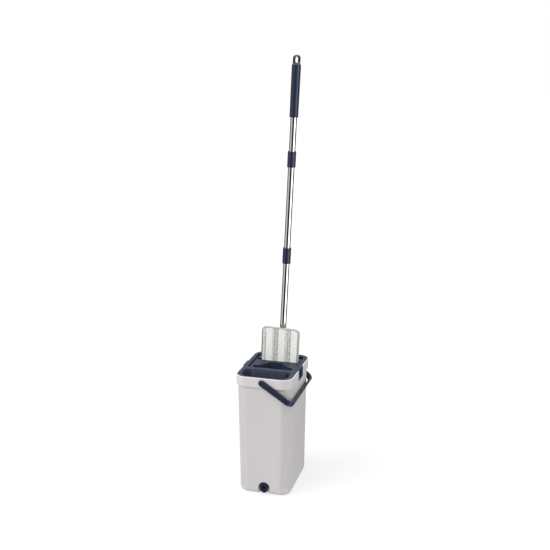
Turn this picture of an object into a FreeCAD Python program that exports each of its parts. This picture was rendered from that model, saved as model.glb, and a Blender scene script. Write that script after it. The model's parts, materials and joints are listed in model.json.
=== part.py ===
import FreeCAD, Part
import math
import os

# Flat mop standing in its wash-and-squeeze bucket.
# Millimetres, +Z up, origin at the centre of the bucket's base, -Y is the front (drain side).
os.makedirs("parts", exist_ok=True)
V = FreeCAD.Vector
X_DIR = V(1, 0, 0)
Y_DIR = V(0, 1, 0)
Z_DIR = V(0, 0, 1)

# ---- Bucket ----
BUCKET_TOP = 369.0
BASE_SIZE = (156.5, 216.5)
BASE_CORNER = 31.0
BODY_TOP_Z = 340.0
BODY_TOP_SIZE = (164.0, 224.0)
BODY_TOP_CORNER = 28.0
WALL = 2.5
FLOOR = 3.0
BASE_FILLET = 11.0
COLLAR_SIZE = (172.3, 234.3)
COLLAR_CORNER = 32.3
COLLAR_WALL = 2.3
SHOULDER_Z = 343.0
FLUTE_R = 2.4
FLUTE_DEPTH = 0.85
FLUTE_STEP = 11.0
FLUTES_PER_CORNER = 6
FLUTE_Z = (22.0, 330.0)

# ---- Drain ----
DRAIN_X = 2.4
DRAIN_Z = 21.0
NICHE_R = 17.3
NICHE_BACK_Y = -93.0
SPIGOT_R = 8.0
SPIGOT_LENGTH = 10.5
DRAIN_BORE_R = 5.0
CAP_R = 11.4
CAP_CLEARANCE = 0.08
CAP_WING_R = 16.0

# ---- Bail handle ----
BAIL_PIVOT_Z = 355.0
BAIL_REACH = 107.0
BAIL_WIDTH = 19.5
BAIL_GRIP_WIDTH = 17.0
BAIL_ARM_THICK = 5.0
BAIL_GRIP_THICK = 7.0
BAIL_CORNER = 25.0
BAIL_REST_ANGLE = 33.5
BAIL_PEG_R = 4.0
BAIL_PEG_CLEARANCE = 0.05

# ---- Wringer insert ----
INSERT_TOP = 370.0
INSERT_SIZE = (167.1, 229.1)
INSERT_CORNER = 30.0
INSERT_SKIRT = 2.2
RIM_THICK = 2.2
DECK_Z = 364.0
DECK_THICK = 2.2
CHUTE_WALL = 2.0
CHUTE_GAP = 0.2
WASH_CHUTE_Z = 120.0
SQUEEZE_CHUTE_Z = 215.0
SQUEEZE_SPLIT_Y = -6.8
TAB_Y = (-25.0, 18.0)
TAB_DROP = 31.5
TAB_OUT_X = 87.8
EAR_Z = (347.6, 350.0)
BOSS_R = 4.0
SCREW_R = 1.6

# Outlines seen from above: x, y and corner radius of each corner.
RECESS = [(-72, -33, 8), (72, -33, 8), (72, 96.5, 16), (-72, 96.5, 16)]
FRONT_OPENING = [(-72, -111, 28), (72, -111, 28), (72, -49, 14), (-72, -49, 14)]
WASH_SLOT = [(-66.5, 52.5, 6), (66.5, 52.5, 6), (66.5, 71.5, 6), (44, 71.5, 3),
             (27, 94.5, 5), (-27, 94.5, 5), (-44, 71.5, 3), (-66.5, 71.5, 6)]
SQUEEZE_SLOT = [(-61.5, -17, 9), (61.5, -17, 9), (61.5, 3.5, 9), (46, 3.5, 3),
                (18.5, 38, 4), (-18.5, 38, 4), (-46, 3.5, 3), (-61.5, 3.5, 9)]
WASH_BOSSES = [(-48, 45.5), (48, 45.5), (-56, 79), (56, 79)]
SQUEEZE_BOSSES = [(-45, -25), (45, -25), (-56, 13), (56, 13)]

# ---- Mop head ----
HEAD_X = 1.3
HEAD_Z = 306.0
HEAD_LEAN = 2.3
PAD_SIZE = (120.0, 330.0)
PAD_Y = (54.0, 61.5)
PAD_CORNER = 15.0
PLATE_SIZE = (112.0, 322.0)
PLATE_Y = (61.9, 66.5)
PLATE_CORNER = 13.0
STRIP_SIZE = (34.0, 290.0)
STRIP_BACK_Y = 62.9
POLE_Y = 78.5
PIN_R = 3.0
PIN_CLEARANCE = 0.05
EAR_IN = 11.2
EAR_THICK = 4.0
EAR_R = 9.5
SWIVEL_RISE = 22.0
LUG_HALF = 5.0
LUG_R = 8.5
CHEEK_THICK = 3.2
CHEEK_GAP = 0.3

# ---- Pole: distances along it are measured from the swivel pin ----
POLE_LEAN = 2.75
TUBE_R = 9.5
TUBE_WALL = 0.7
SOCKET_R = 11.2
SOCKET_SPAN = (14.0, 72.0)
TUBE_START = 24.0
SLEEVE_R = 12.4
SLEEVES = [("lower", 339.8, 388.2), ("upper", 628.3, 674.9)]
STUD_REACH = 10.0
GRIP_R = 12.85
GRIP_SPAN = (771.9, 918.0)
LOOP_TOP = 946.0
LOOP_WIDTH = 20.0
LOOP_THICK = 11.0
LOOP_HOLE = (14.5, 19.0)
LOOP_TURN = 44.0


# ---------------------------------------------------------------- helpers
def outline(corners, z):
    """Closed wire through rounded corners, each given as x, y, radius."""
    starts = []
    ends = []
    middles = []
    count = len(corners)
    for i, (x, y, radius) in enumerate(corners):
        here = V(x, y, z)
        before = V(corners[i - 1][0], corners[i - 1][1], z)
        after = V(corners[(i + 1) % count][0], corners[(i + 1) % count][1], z)
        inward = (before - here).normalize()
        onward = (after - here).normalize()
        half = inward.getAngle(onward) / 2
        reach = radius / math.tan(half)
        bisector = (inward + onward).normalize()
        centre = here + bisector * (radius / math.sin(half))
        starts.append(here + inward * reach)
        ends.append(here + onward * reach)
        middles.append(centre - bisector * radius)
    edges = []
    for i in range(count):
        edges.append(Part.Arc(starts[i], middles[i], ends[i]).toShape())
        following = starts[(i + 1) % count]
        if ends[i].distanceToPoint(following) > 1e-6:
            edges.append(Part.LineSegment(ends[i], following).toShape())
    return Part.Wire(edges)


def rect(size, radius, centre=(0.0, 0.0)):
    """Corner list of a rounded rectangle."""
    half_x = size[0] / 2
    half_y = size[1] / 2
    signs = [(-1, -1), (1, -1), (1, 1), (-1, 1)]
    return [(centre[0] + sx * half_x, centre[1] + sy * half_y, radius) for sx, sy in signs]


def prism(corners, z_low, z_high, grow=0.0):
    """Upright solid over an outline, grown sideways by grow."""
    wire = outline(corners, z_low)
    if grow:
        wire = wire.makeOffset2D(grow)
    return Part.Face(wire).extrude(V(0, 0, z_high - z_low))


def inset(size, amount):
    return (size[0] - 2 * amount, size[1] - 2 * amount)


def box(low, high):
    return Part.makeBox(high[0] - low[0], high[1] - low[1], high[2] - low[2], V(*low))


def rod(radius, start, end):
    """Cylinder from start to end."""
    span = V(*end) - V(*start)
    return Part.makeCylinder(radius, span.Length, V(*start), span)


def profile_x(points, half_length):
    """Solid of a y, z polygon drawn out along X by half_length each way."""
    corners = [V(-half_length, y, z) for y, z in points]
    return Part.Face(Part.makePolygon(corners + corners[:1])).extrude(V(2 * half_length, 0, 0))


def plate(size, radius, y_low, y_high, centre):
    """Rounded plate that stands upright, with its faces across Y."""
    flat = prism(rect(size, radius), 0, y_high - y_low)
    flat.rotate(V(0, 0, 0), X_DIR, 90)
    flat.translate(V(centre[0], y_high, centre[1]))
    return flat


def round_edges(shape, radius, wanted):
    """Fillet the edges that wanted(edge) picks."""
    return shape.makeFillet(radius, [edge for edge in shape.Edges if wanted(edge)])


def save(name, shape):
    shape = shape.removeSplitter()
    if not shape.isValid():
        raise ValueError(name + " is not a valid solid")
    shape.exportStep("parts/%s.step" % name)
    print("%-24s %2d solid(s) %10.1f mm3" % (name, len(shape.Solids), shape.Volume))


# ---------------------------------------------------------------- bucket
def body_corner(z):
    """Centre offsets and radius of the body's corner arcs at a height."""
    share = z / BODY_TOP_Z
    size = [low + (high - low) * share for low, high in zip(BASE_SIZE, BODY_TOP_SIZE)]
    radius = BASE_CORNER + (BODY_TOP_CORNER - BASE_CORNER) * share
    return size[0] / 2 - radius, size[1] / 2 - radius, radius


def body_loft(z_low, z_high, wall):
    """Tapered body between two heights, set in by wall."""
    wires = []
    for z in (z_low, z_high):
        x, y, radius = body_corner(z)
        size = (2 * (x + radius), 2 * (y + radius))
        wires.append(outline(rect(inset(size, wall), radius - wall), z))
    return Part.makeLoft(wires, True, True)


def round_bottom(shape, z, radius):
    return round_edges(shape, radius, lambda edge: abs(edge.BoundBox.ZMax - z) < 1e-4)


def arch(radius, y_low, y_high):
    """Arch-topped block round the drain, open downwards."""
    top = rod(radius, (DRAIN_X, y_low, DRAIN_Z), (DRAIN_X, y_high, DRAIN_Z))
    legs = box((DRAIN_X - radius, y_low, -1), (DRAIN_X + radius, y_high, DRAIN_Z))
    return top.fuse(legs)


def flutes():
    """Shallow upright grooves round each corner of the body."""
    cuts = []
    for side_x in (-1, 1):
        for side_y in (-1, 1):
            for i in range(FLUTES_PER_CORNER):
                angle = math.radians(45 + FLUTE_STEP * (i - (FLUTES_PER_CORNER - 1) / 2))
                ends = []
                for z in FLUTE_Z:
                    x, y, radius = body_corner(z)
                    reach = radius + FLUTE_R - FLUTE_DEPTH
                    ends.append((side_x * (x + reach * math.sin(angle)),
                                 side_y * (y + reach * math.cos(angle)), z))
                cuts.append(rod(FLUTE_R, ends[0], ends[1]))
    return Part.makeCompound(cuts)


def bucket_body():
    outer = round_bottom(body_loft(0, BODY_TOP_Z, 0), 0, BASE_FILLET)
    collar = prism(rect(COLLAR_SIZE, COLLAR_CORNER), BODY_TOP_Z - 1, BUCKET_TOP)
    collar = round_edges(collar, 1.0, lambda edge: edge.BoundBox.ZLength < 1e-4)
    cavity = round_bottom(body_loft(FLOOR, SHOULDER_Z + 1, WALL), FLOOR, BASE_FILLET - WALL)
    collar_hole = prism(rect(COLLAR_SIZE, COLLAR_CORNER), SHOULDER_Z, BUCKET_TOP + 1, -COLLAR_WALL)
    shell = outer.cut(flutes()).fuse(collar).cut(cavity.fuse(collar_hole))

    niche_wall = arch(NICHE_R + WALL, -BASE_SIZE[1] / 2, NICHE_BACK_Y + WALL).common(outer)
    spigot_tip = NICHE_BACK_Y - SPIGOT_LENGTH
    spigot = rod(SPIGOT_R, (DRAIN_X, NICHE_BACK_Y + 1, DRAIN_Z), (DRAIN_X, spigot_tip, DRAIN_Z))
    shell = shell.fuse(niche_wall).cut(arch(NICHE_R, -130, NICHE_BACK_Y)).fuse(spigot)
    shell = shell.cut(rod(DRAIN_BORE_R, (DRAIN_X, -130, DRAIN_Z), (DRAIN_X, -80, DRAIN_Z)))

    for side in (-1, 1):
        face_y = side * COLLAR_SIZE[1] / 2
        pad = rod(9.0, (0, face_y - side, BAIL_PIVOT_Z), (0, face_y + side * 0.4, BAIL_PIVOT_Z))
        bore_r = BAIL_PEG_R + BAIL_PEG_CLEARANCE
        bore = rod(bore_r, (0, face_y - side * 6, BAIL_PIVOT_Z), (0, face_y + side * 6, BAIL_PIVOT_Z))
        shell = shell.fuse(pad).cut(bore)
        # Notch that the insert's side tab hangs in, with a finger relief at its lower front corner.
        inner_x = COLLAR_SIZE[0] / 2 - COLLAR_WALL - 0.1
        notch_x = sorted((side * inner_x, side * (TAB_OUT_X + 5)))
        notch_low = INSERT_TOP - TAB_DROP - 0.6
        shell = shell.cut(box((notch_x[0], TAB_Y[0] - 0.6, notch_low),
                              (notch_x[1], TAB_Y[1] + 0.6, BUCKET_TOP + 1)))
        relief_x = sorted((side * (inner_x + 1.2), side * (TAB_OUT_X + 5)))
        shell = shell.cut(box((relief_x[0], TAB_Y[0] - 4, notch_low - 1),
                              (relief_x[1], TAB_Y[0], notch_low + 5)))

    groove = prism(rect((120, 176), 25), -1, 1).cut(prism(rect((112, 168), 21), -1, 1))
    return shell.cut(groove)


# ---------------------------------------------------------------- drain
def drain_gasket():
    back = NICHE_BACK_Y - 0.3
    ring = rod(CAP_R - 0.4, (DRAIN_X, back, DRAIN_Z), (DRAIN_X, back - 2.0, DRAIN_Z))
    hole = rod(SPIGOT_R + 0.3, (DRAIN_X, back + 1, DRAIN_Z), (DRAIN_X, back - 3, DRAIN_Z))
    return ring.cut(hole)


def drain_cap():
    """Screw cap with two finger wings and a hollow front."""
    back = NICHE_BACK_Y - 2.3
    front = back - 16.0
    skirt = rod(CAP_R, (DRAIN_X, back, DRAIN_Z), (DRAIN_X, back - 8, DRAIN_Z))
    knob = plate((2 * CAP_R, 2 * CAP_WING_R), CAP_R - 0.1, front, back - 6, (DRAIN_X, DRAIN_Z))
    knob = round_edges(knob, 1.8, lambda edge: edge.BoundBox.YMax < front + 1e-3)
    cap = skirt.fuse(knob)
    socket = rod(SPIGOT_R + CAP_CLEARANCE, (DRAIN_X, back + 1, DRAIN_Z), (DRAIN_X, back - 9, DRAIN_Z))
    hollow = rod(5.7, (DRAIN_X, front + 5.5, DRAIN_Z), (DRAIN_X, front - 1, DRAIN_Z))
    return cap.cut(socket).cut(hollow)


# ---------------------------------------------------------------- bail handle
def bail_handle():
    """Flat strap bent to a U, drawn with its arms along +X and then swung down."""
    arm_in = COLLAR_SIZE[1] / 2 + 0.75
    arm_out = arm_in + BAIL_ARM_THICK
    grip_out = BAIL_REACH + BAIL_GRIP_THICK / 2
    grip_in = BAIL_REACH - BAIL_GRIP_THICK / 2
    back = -BAIL_WIDTH
    outer = [(back, -arm_out, 1), (grip_out, -arm_out, BAIL_CORNER),
             (grip_out, arm_out, BAIL_CORNER), (back, arm_out, 1)]
    inner = [(back - 5, -arm_in, 1), (grip_in, -arm_in, BAIL_CORNER - 5),
             (grip_in, arm_in, BAIL_CORNER - 5), (back - 5, arm_in, 1)]
    half = BAIL_WIDTH / 2
    strap = prism(outer, -half, half).cut(prism(inner, -half - 1, half + 1))
    # The arms end round, on the pivots, and narrow towards the grip.
    side_view = rod(half, (0, -arm_out - 1, 0), (0, arm_out + 1, 0))
    narrow = BAIL_GRIP_WIDTH / 2
    taper = [V(x, -arm_out - 1, z) for x, z in
             [(0, -half), (grip_out + 1, -narrow), (grip_out + 1, narrow), (0, half), (0, -half)]]
    side_view = side_view.fuse(Part.Face(Part.makePolygon(taper)).extrude(V(0, 2 * arm_out + 2, 0)))
    strap = strap.common(side_view).removeSplitter()
    strap = round_edges(strap, 1.8, lambda edge: edge.BoundBox.ZLength < half / 3 and edge.Length > 5)
    for side in (-1, 1):
        face_y = side * arm_in
        collar_in = side * (COLLAR_SIZE[1] / 2 - COLLAR_WALL)
        strap = strap.fuse(rod(BAIL_PEG_R, (0, face_y + side, 0), (0, collar_in - side * 1.9, 0)))
        head = Part.makeCone(4.0, 4.9, 1.4, V(0, collar_in - side * 1.9, 0), V(0, side, 0))
        strap = strap.fuse(head)
    strap.rotate(V(0, 0, 0), Y_DIR, BAIL_REST_ANGLE)
    strap.translate(V(0, 0, BAIL_PIVOT_Z))
    return strap


# ---------------------------------------------------------------- wringer insert
def wringer_deck():
    """Recessed deck with its rim, pour opening, two mop slots and side tabs."""
    frame = rect(INSERT_SIZE, INSERT_CORNER)
    solid = prism(frame, SHOULDER_Z + 0.5, INSERT_TOP)
    solid = round_edges(solid, 1.6, lambda edge: edge.BoundBox.ZMin > INSERT_TOP - 1e-4)
    hollow = prism(frame, SHOULDER_Z, INSERT_TOP - RIM_THICK, -INSERT_SKIRT)
    deck = solid.cut(hollow)

    # Recess: its wall and floor hang inside the rim.
    tray = prism(RECESS, DECK_Z - DECK_THICK, INSERT_TOP - 1, CHUTE_WALL)
    deck = deck.fuse(tray).cut(prism(RECESS, DECK_Z, INSERT_TOP + 1))

    # Pour opening: a deep wall all round, with a panel that bulges forward at its back.
    lip = prism(FRONT_OPENING, 328, INSERT_TOP - 1, CHUTE_WALL)
    lip = lip.cut(box((-100, -120, 300), (100, -88, SHOULDER_Z + 1)))
    panel = prism([(-56, -40, 1), (-56, -49.5, 1), (-47, -55, 6), (53, -55, 6),
                   (60, -49.5, 1), (60, -40, 1)], 328, INSERT_TOP - 4)
    opening = prism(FRONT_OPENING, 300, INSERT_TOP + 1).cut(panel)
    deck = deck.fuse(lip.common(prism(frame, 300, INSERT_TOP))).cut(opening)
    deck = deck.cut(prism([(-52, -36, 1), (-52, -47, 1), (-45, -53, 5), (51, -53, 5),
                           (56, -47, 1), (56, -36, 1)], 300, INSERT_TOP - 6))

    for slot in (WASH_SLOT, SQUEEZE_SLOT):
        deck = deck.cut(prism(slot, DECK_Z - 10, DECK_Z + 10))
    for x, y in WASH_BOSSES + SQUEEZE_BOSSES:
        boss = rod(BOSS_R, (x, y, EAR_Z[1]), (x, y, DECK_Z - 1))
        deck = deck.fuse(boss).cut(rod(SCREW_R, (x, y, EAR_Z[1] - 1), (x, y, EAR_Z[1] + 9)))

    for side in (-1, 1):
        skirt_x = side * (INSERT_SIZE[0] / 2 - 1)
        tab_x = sorted((skirt_x, side * TAB_OUT_X))
        tab = box((tab_x[0], TAB_Y[0], SHOULDER_Z + 0.5), (tab_x[1], TAB_Y[1], INSERT_TOP))
        hang_x = sorted((side * (INSERT_SIZE[0] / 2 + 0.6), side * TAB_OUT_X))
        hang = box((hang_x[0], TAB_Y[0], INSERT_TOP - TAB_DROP), (hang_x[1], TAB_Y[1], INSERT_TOP))
        tab = tab.fuse(hang).removeSplitter()
        tab = round_edges(tab, 1.6, lambda edge: abs(edge.BoundBox.XMin - side * TAB_OUT_X) < 1e-4
                          and abs(edge.BoundBox.XMax - side * TAB_OUT_X) < 1e-4)
        deck = deck.fuse(tab)
        # Open-bottomed relief in the skirt for the bail's snap peg.
        relief_y = sorted((side * (INSERT_SIZE[1] / 2 - INSERT_SKIRT - 0.5), side * 120))
        deck = deck.cut(box((-6.5, relief_y[0], 300), (6.5, relief_y[1], BAIL_PIVOT_Z + 6.5)))
    return deck.removeSplitter()


def chute(slot, z_low, bosses):
    """Walls that hang below a slot, with screwed ears under the deck's bosses."""
    top = DECK_Z - DECK_THICK
    walls = prism(slot, z_low, top, CHUTE_WALL + CHUTE_GAP)
    walls = walls.fuse(prism(slot, top - 4, top, CHUTE_WALL + 2.0))
    front = min(y for _, y, _ in slot)
    for x, y in bosses:
        toward = y + 10 if y < front else y - 10
        ear = box((x - 5.5, min(y - 5.5, toward), EAR_Z[0]), (x + 5.5, max(y + 5.5, toward), EAR_Z[1]))
        walls = walls.fuse(ear)
    walls = walls.cut(prism(slot, z_low - 1, top + 1, CHUTE_GAP))
    for x, y in bosses:
        walls = walls.cut(rod(SCREW_R, (x, y, EAR_Z[0] - 1), (x, y, EAR_Z[1] + 1)))
        walls = walls.cut(rod(BOSS_R + 0.2, (x, y, EAR_Z[1]), (x, y, top + 1)))
    return walls


def cut_windows(shape, xs, y_low, y_high, z_rows, width):
    """Upright drain windows through one wall of a chute."""
    for x in xs:
        for z_low, z_high in z_rows:
            window = box((x - width / 2, y_low, z_low), (x + width / 2, y_high, z_high))
            shape = shape.cut(window)
    return shape


def wash_chute():
    walls = chute(WASH_SLOT, WASH_CHUTE_Z, WASH_BOSSES)
    rows = [(135, 185), (195, 245), (255, 305)]
    return cut_windows(walls, [-48, -24, 0, 24, 48], 48, 55, rows, 12)


def squeeze_chute_half(front):
    """The squeeze chute is moulded in two halves that meet at its end walls."""
    walls = chute(SQUEEZE_SLOT, SQUEEZE_CHUTE_Z, SQUEEZE_BOSSES)
    before_split = box((-90, -60, 200), (90, SQUEEZE_SPLIT_Y, 380))
    return walls.common(before_split) if front else walls.cut(before_split)


def squeeze_chute_front():
    rows = [(228, 268), (278, 318)]
    return cut_windows(squeeze_chute_half(True), [-42, -21, 0, 21, 42], -22, -14, rows, 11)


def squeeze_chute_back():
    return squeeze_chute_half(False)


def wash_wiper():
    """Soft lip on the chute's front wall, just clear of the pad."""
    wall = WASH_SLOT[0][1] - CHUTE_GAP
    tip = PAD_Y[0] - 0.3
    return profile_x([(wall, 357), (tip, 352), (tip, 350.5), (wall, 347)], 58)


def rub_strips():
    """Two soft strips that bear on the back of the mop plate."""
    wall = WASH_SLOT[3][1] + CHUTE_GAP
    tip = PLATE_Y[1] + 0.3
    strip = profile_x([(wall, 359), (tip, 353), (tip, 350), (wall, 345)], 6.5)
    left = strip.copy()
    left.translate(V(-53, 0, 0))
    right = strip.copy()
    right.translate(V(53, 0, 0))
    return Part.makeCompound([left, right])


def scraper_blade():
    """Stiff blade that presses the water out of the pad in the squeeze slot."""
    wall = SQUEEZE_SLOT[0][1] - CHUTE_GAP
    return profile_x([(wall, 356), (-9.5, 345), (-9.5, 342.5), (wall, 344)], 52)


def chute_screws():
    screws = []
    for x, y in WASH_BOSSES + SQUEEZE_BOSSES:
        head = rod(3.2, (x, y, EAR_Z[0] - 2.2), (x, y, EAR_Z[0]))
        head = round_edges(head, 1.0, lambda edge: edge.BoundBox.ZMax < EAR_Z[0] - 2.1)
        head = head.cut(box((x - 2.2, y - 0.5, EAR_Z[0] - 3), (x + 2.2, y + 0.5, EAR_Z[0] - 1.3)))
        screws.append(head.fuse(rod(SCREW_R, (x, y, EAR_Z[0]), (x, y, EAR_Z[1] + 8))))
    return Part.makeCompound(screws)


# ---------------------------------------------------------------- mop head
def lean_head(shape):
    shape.rotate(V(HEAD_X, 0, HEAD_Z), Y_DIR, HEAD_LEAN)
    return shape


def strip_places():
    return [(HEAD_X - 34, HEAD_Z), (HEAD_X + 34, HEAD_Z)]


def bracket_holes():
    return [(HEAD_X + sx * 16.5, HEAD_Z + sz * 27) for sx in (-1, 1) for sz in (-1, 1)]


def mop_plate():
    centre = (HEAD_X, HEAD_Z)
    body = plate(PLATE_SIZE, PLATE_CORNER, PLATE_Y[0], PLATE_Y[1], centre)
    # Lightening pockets in the back leave a rim and cross ribs.
    for sx in (-1, 1):
        for i in range(5):
            pocket_z = HEAD_Z + (i - 2) * 61
            pocket = plate((22, 53), 4, PLATE_Y[1] - 2, PLATE_Y[1] + 1, (HEAD_X + sx * 40, pocket_z))
            body = body.cut(pocket)
    for place in strip_places():
        groove = plate((STRIP_SIZE[0] + 0.6, STRIP_SIZE[1] + 0.6), 4, 60, STRIP_BACK_Y, place)
        body = body.cut(groove)
    for x, z in bracket_holes():
        body = body.cut(rod(1.5, (x, 50, z), (x, 80, z)))
    return lean_head(body)


def hook_strips():
    strips = [plate(STRIP_SIZE, 3, PAD_Y[1], STRIP_BACK_Y, place) for place in strip_places()]
    return lean_head(Part.makeCompound(strips))


def mop_pad():
    pad = plate(PAD_SIZE, PAD_CORNER, PAD_Y[0], PAD_Y[1], (HEAD_X, HEAD_Z))
    pad = round_edges(pad, 2.5, lambda edge: edge.BoundBox.YMax < PAD_Y[0] + 1e-3)
    return lean_head(pad)


def head_bracket():
    """Base plate and two ears that hold the flip pin."""
    base_back = PLATE_Y[1] + 3.0
    bracket = plate((44, 66), 6, PLATE_Y[1], base_back, (HEAD_X, HEAD_Z))
    for side in (-1, 1):
        x_pair = sorted((HEAD_X + side * EAR_IN, HEAD_X + side * (EAR_IN + EAR_THICK)))
        ear = rod(EAR_R, (x_pair[0], POLE_Y, HEAD_Z), (x_pair[1], POLE_Y, HEAD_Z))
        foot = box((x_pair[0], base_back - 1, HEAD_Z - 14), (x_pair[1], POLE_Y, HEAD_Z + 14))
        corner = rod(60, (x_pair[0] - 1, 130, HEAD_Z), (x_pair[1] + 1, 130, HEAD_Z))
        bracket = bracket.fuse(ear).fuse(foot.cut(corner))
    bracket = bracket.cut(rod(PIN_R, (HEAD_X - 30, POLE_Y, HEAD_Z), (HEAD_X + 30, POLE_Y, HEAD_Z)))
    for x, z in bracket_holes():
        bracket = bracket.cut(rod(1.5, (x, 50, z), (x, 80, z)))
    return lean_head(bracket)


def bracket_screws():
    screws = []
    back = PLATE_Y[1] + 3.0
    for x, z in bracket_holes():
        head = rod(3.0, (x, back, z), (x, back + 2.0, z))
        head = head.cut(box((x - 2, back + 1, z - 0.4), (x + 2, back + 3, z + 0.4)))
        screws.append(head.fuse(rod(1.5, (x, back, z), (x, PLATE_Y[0] + 1.2, z))))
    return lean_head(Part.makeCompound(screws))


def pin_head(end, beyond):
    """Flat head on a pin, from its end to a point beyond."""
    return rod(PIN_R + 1.6, end, beyond)


def flip_pin():
    reach = EAR_IN + EAR_THICK
    pin = rod(PIN_R, (HEAD_X - reach, POLE_Y, HEAD_Z), (HEAD_X + reach, POLE_Y, HEAD_Z))
    for side in (-1, 1):
        end_x = HEAD_X + side * reach
        pin = pin.fuse(pin_head((end_x, POLE_Y, HEAD_Z), (end_x + side * 1.4, POLE_Y, HEAD_Z)))
    return lean_head(pin)


def head_knuckle():
    """Turns on the flip pin and carries the swivel pin above it."""
    swivel_z = HEAD_Z + SWIVEL_RISE
    half = EAR_IN - 0.3
    barrel = rod(8.0, (HEAD_X - half, POLE_Y, HEAD_Z), (HEAD_X + half, POLE_Y, HEAD_Z))
    neck = box((HEAD_X - 7, POLE_Y - LUG_HALF, HEAD_Z), (HEAD_X + 7, POLE_Y + LUG_HALF, swivel_z))
    lug = rod(LUG_R, (HEAD_X, POLE_Y - LUG_HALF, swivel_z), (HEAD_X, POLE_Y + LUG_HALF, swivel_z))
    knuckle = barrel.fuse(neck).fuse(lug)
    bore_r = PIN_R + PIN_CLEARANCE
    knuckle = knuckle.cut(rod(bore_r, (HEAD_X - 20, POLE_Y, HEAD_Z), (HEAD_X + 20, POLE_Y, HEAD_Z)))
    knuckle = knuckle.cut(rod(bore_r, (HEAD_X, POLE_Y - 20, swivel_z), (HEAD_X, POLE_Y + 20, swivel_z)))
    return lean_head(knuckle)


# ---------------------------------------------------------------- pole
def swivel_place():
    """Where the swivel pin crosses the pole's axis, after the head's lean."""
    lean = math.radians(HEAD_LEAN)
    return V(HEAD_X + SWIVEL_RISE * math.sin(lean), POLE_Y, HEAD_Z + SWIVEL_RISE * math.cos(lean))


def set_pole(shape):
    """Move a piece drawn along +Z from the swivel pin to its place on the leaning pole."""
    shape.rotate(V(0, 0, 0), Y_DIR, POLE_LEAN)
    shape.translate(swivel_place())
    return shape


def ring(outer_r, inner_r, low, high):
    return rod(outer_r, (0, 0, low), (0, 0, high)).cut(rod(inner_r, (0, 0, low - 1), (0, 0, high + 1)))


def swivel_pin():
    """Headed at the back only, because the bracket is close in front."""
    reach = LUG_HALF + CHEEK_GAP + CHEEK_THICK
    pin = rod(PIN_R, (0, -reach, 0), (0, reach, 0))
    return set_pole(pin.fuse(pin_head((0, reach, 0), (0, reach + 1.2, 0))))


def pole_socket():
    """Fork on the swivel pin with a socket for the lowest tube."""
    near = LUG_HALF + CHEEK_GAP
    far = near + CHEEK_THICK
    low, high = SOCKET_SPAN
    socket = rod(SOCKET_R, (0, 0, low), (0, 0, high))
    socket = round_edges(socket, 1.5, lambda edge: edge.BoundBox.ZMin > high - 1e-4)
    for side in (-1, 1):
        y_pair = sorted((side * near, side * far))
        cheek = rod(LUG_R, (0, y_pair[0], 0), (0, y_pair[1], 0))
        cheek = cheek.fuse(box((-LUG_R, y_pair[0], 0), (LUG_R, y_pair[1], low + 6)))
        socket = socket.fuse(cheek.common(rod(SOCKET_R + 1, (0, 0, -20), (0, 0, high))))
    socket = socket.cut(rod(TUBE_R, (0, 0, TUBE_START), (0, 0, high + 1)))
    socket = socket.cut(rod(PIN_R, (0, -20, 0), (0, 20, 0)))
    socket = socket.cut(rod(1.5, (0, 5, 50), (0, 20, 50)))
    return set_pole(socket.removeSplitter())


def socket_screw():
    screw = rod(1.5, (0, TUBE_R - TUBE_WALL - 2, 50), (0, SOCKET_R, 50))
    return set_pole(screw.fuse(rod(2.8, (0, SOCKET_R, 50), (0, SOCKET_R + 1.2, 50))))


def tubes():
    """The three thin steel tubes, split at the middle of each sleeve."""
    splits = [(low + high) / 2 for _, low, high in SLEEVES]
    spans = {"lower_tube": (TUBE_START, splits[0] - 0.2),
             "middle_tube": (splits[0] + 0.2, splits[1] - 0.2),
             "upper_tube": (splits[1] + 0.2, GRIP_SPAN[1] - 3)}
    for name, (low, high) in spans.items():
        tube = ring(TUBE_R, TUBE_R - TUBE_WALL, low, high)
        if name == "lower_tube":
            tube = tube.cut(rod(1.5, (0, 5, 50), (0, 20, 50)))
        save(name, set_pole(tube))


def sleeves():
    """Outer sleeve and inner threaded stud of each tube joint."""
    for name, low, high in SLEEVES:
        sleeve = ring(SLEEVE_R, TUBE_R, low, high)
        sleeve = round_edges(sleeve, 0.8, lambda edge: edge.BoundBox.ZLength < 1e-4
                             and edge.BoundBox.XLength > 2 * SLEEVE_R - 1)
        save(name + "_coupling_sleeve", set_pole(sleeve))
        stud = rod(TUBE_R - TUBE_WALL, (0, 0, low - STUD_REACH), (0, 0, high + STUD_REACH))
        stud = stud.cut(rod(5.0, (0, 0, low - STUD_REACH - 1), (0, 0, high + STUD_REACH + 1)))
        save(name + "_coupling_stud", set_pole(stud))


def grip_sleeve():
    low, high = GRIP_SPAN
    grip = Part.makeCone(GRIP_R - 0.2, GRIP_R + 0.3, high - low, V(0, 0, low), Z_DIR)
    grip = round_edges(grip, 1.2, lambda edge: edge.BoundBox.ZMax < low + 1e-3)
    return set_pole(grip.cut(rod(TUBE_R, (0, 0, low - 1), (0, 0, high + 1))))


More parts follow.
